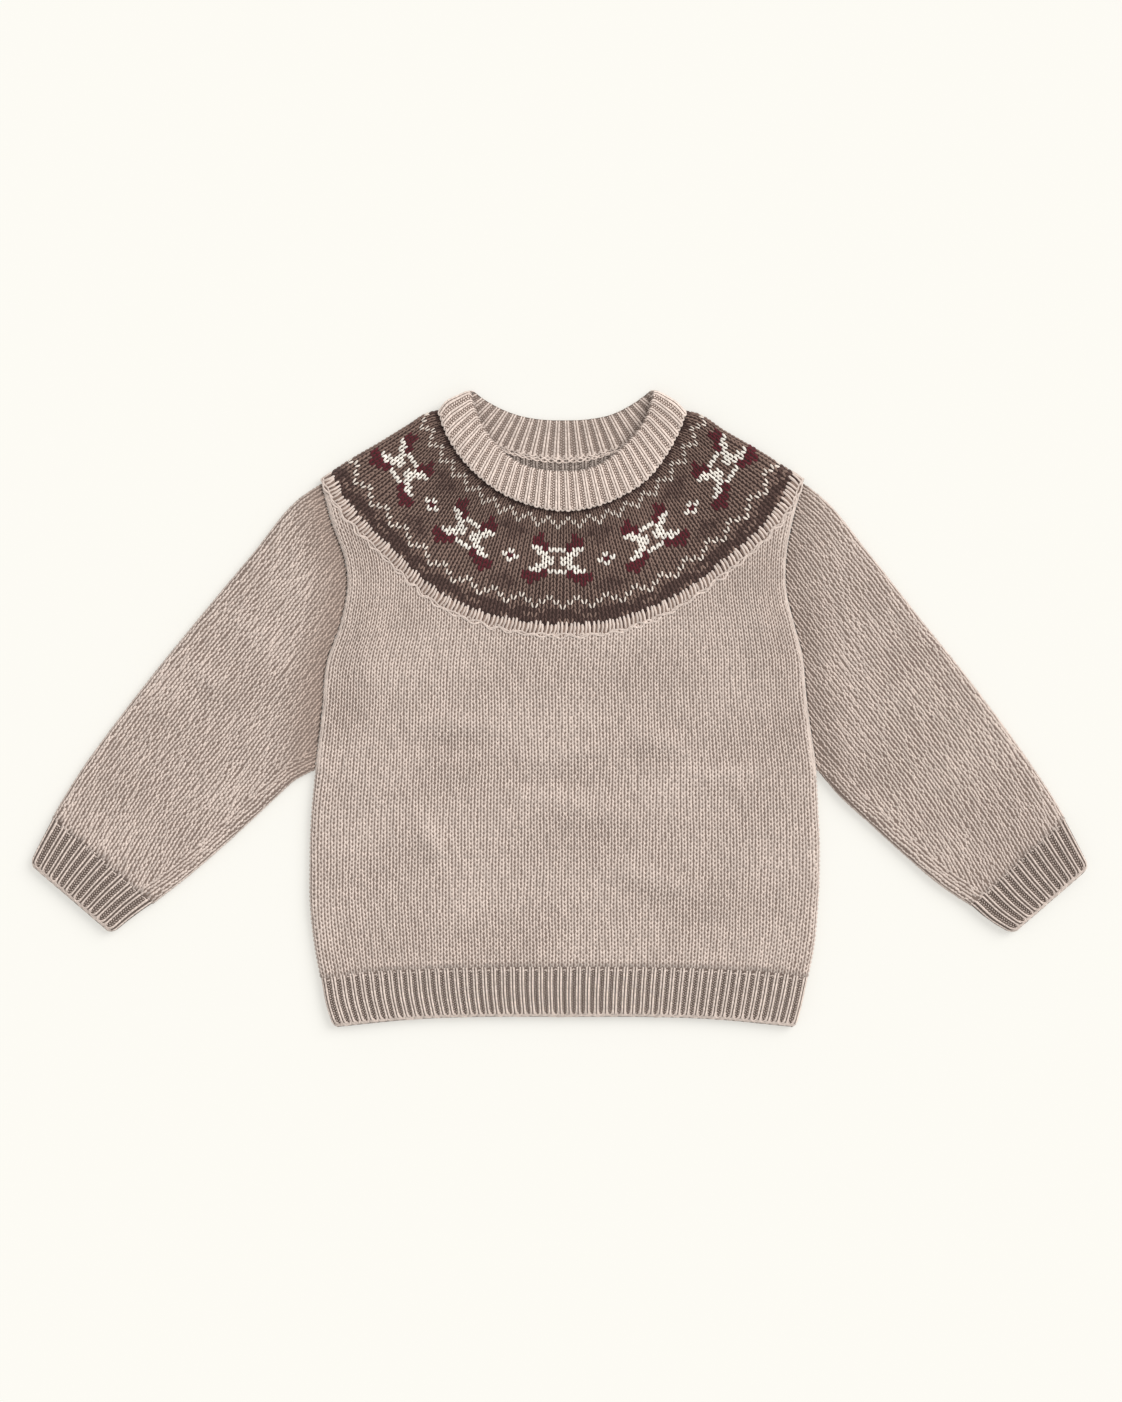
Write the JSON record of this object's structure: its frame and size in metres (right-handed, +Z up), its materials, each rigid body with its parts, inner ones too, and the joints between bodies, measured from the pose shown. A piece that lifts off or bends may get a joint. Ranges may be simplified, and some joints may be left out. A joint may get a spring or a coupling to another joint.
{
  "type": "child's round-yoke knitted pullover, laid flat",
  "caption": "Child's knitted pullover laid flat, face up, with a patterned round yoke, long sleeves and ribbed neckband, cuffs and hem.",
  "frame": {"origin": "under the middle of the length and width, on the surface that the pullover lies on", "axes": "+X to the wearer's left, +Y from the hem to the neck, +Z up out of the surface, through the front"},
  "size_m": [0.7139, 0.4297, 0.01],
  "materials": {
    "beige_knit": "soft beige marl stocking stitch",
    "beige_rib": "soft beige marl rib",
    "yoke_knit": "dark brown stranded colour knit with cream and burgundy"
  },
  "bodies": {
    "root": {"body_front": "beige_knit", "body_back": "beige_knit", "sleeve_right": "beige_knit", "sleeve_left": "beige_knit", "yoke": "yoke_knit", "neckband": "beige_rib", "hem_front": "beige_rib", "hem_back": "beige_rib", "cuff_right": "beige_rib", "cuff_left": "beige_rib"}
  },
  "joints": []
}
